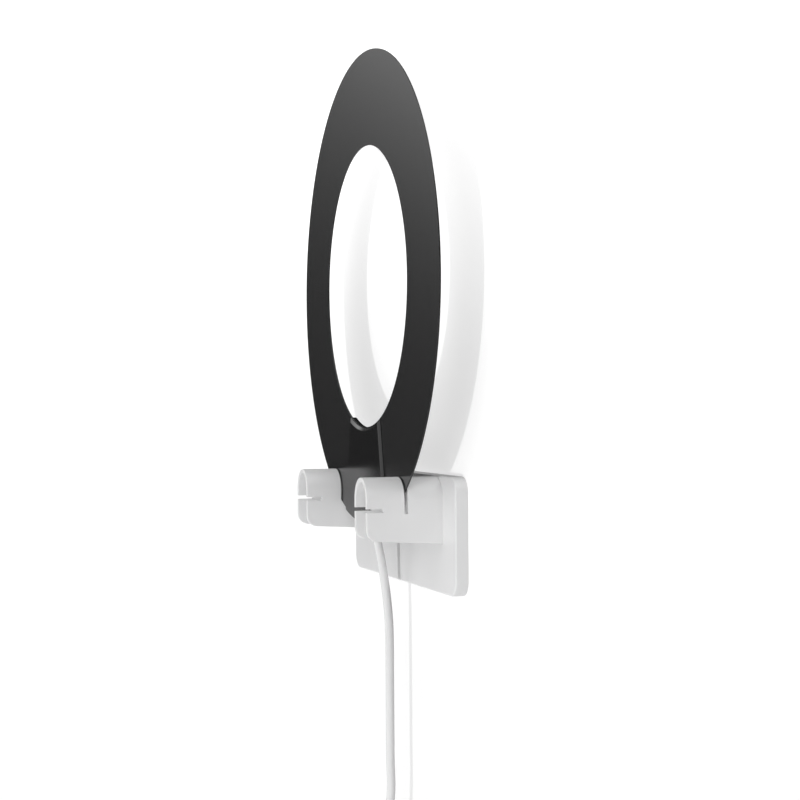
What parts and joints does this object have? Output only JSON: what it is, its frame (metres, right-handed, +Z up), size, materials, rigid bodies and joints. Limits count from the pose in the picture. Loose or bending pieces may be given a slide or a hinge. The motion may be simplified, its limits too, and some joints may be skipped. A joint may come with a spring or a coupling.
{
  "type": "indoor television antenna",
  "caption": "Flat black ring antenna with a hole, standing in two slotted arms of a white wall plate; a white coaxial cable with a plug hangs from its boss.",
  "frame": {"origin": "middle of the wall plate's back face, which lies against the wall", "axes": "+Y into the wall, +Z up along the ring's height, +X to the right as seen from the room"},
  "size_m": [0.25, 0.046, 0.559],
  "materials": {
    "white_plastic": "fine satin moulding",
    "pad_rubber": "matte",
    "black_sheet": "smooth satin sheet",
    "foil": "rolled foil",
    "black_cover": "semi-gloss moulding",
    "steel": "zinc plated",
    "board": "solder-masked laminate",
    "ferrite": "sintered, matte",
    "copper_wire": "bare drawn wire",
    "chip": "matte",
    "spring_metal": "tinned strip",
    "cable_white": "smooth soft jacket",
    "tie": "ribbed nylon",
    "plug_white": "ribbed moulding",
    "nickel": "nickel plated",
    "insulator": "natural moulding"
  },
  "bodies": {
    "bracket": {"wall_plate": "white_plastic", "arm_left": "white_plastic", "arm_right": "white_plastic", "anti_slip_pads": "pad_rubber"},
    "antenna": {"panel_front_skin": "black_sheet", "panel_rear_skin": "black_sheet", "radiator_foil": "foil", "front_cover": "black_cover", "rear_cover": "black_cover", "cover_screws": "steel", "matching_board": "board", "balun_core": "ferrite", "balun_winding": "copper_wire", "chip_capacitors": "chip", "feed_springs": "spring_metal", "cable_clamp": "steel", "clamp_screws": "steel", "cable_end": "cable_white", "cable_core": "copper_wire", "strain_relief": "cable_white", "antenna_cable": "cable_white", "cable_bundle": "cable_white", "bundle_tie": "tie", "plug_tail": "cable_white", "plug_grip": "plug_white", "plug_shell": "nickel", "plug_insulator": "insulator", "plug_pin": "nickel"}
  },
  "joints": [
    {"name": "antenna_lift", "type": "slide", "parent": "bracket", "child": "antenna", "axis": [0, 0, 1], "range_m": [0, 0.04]}
  ]
}
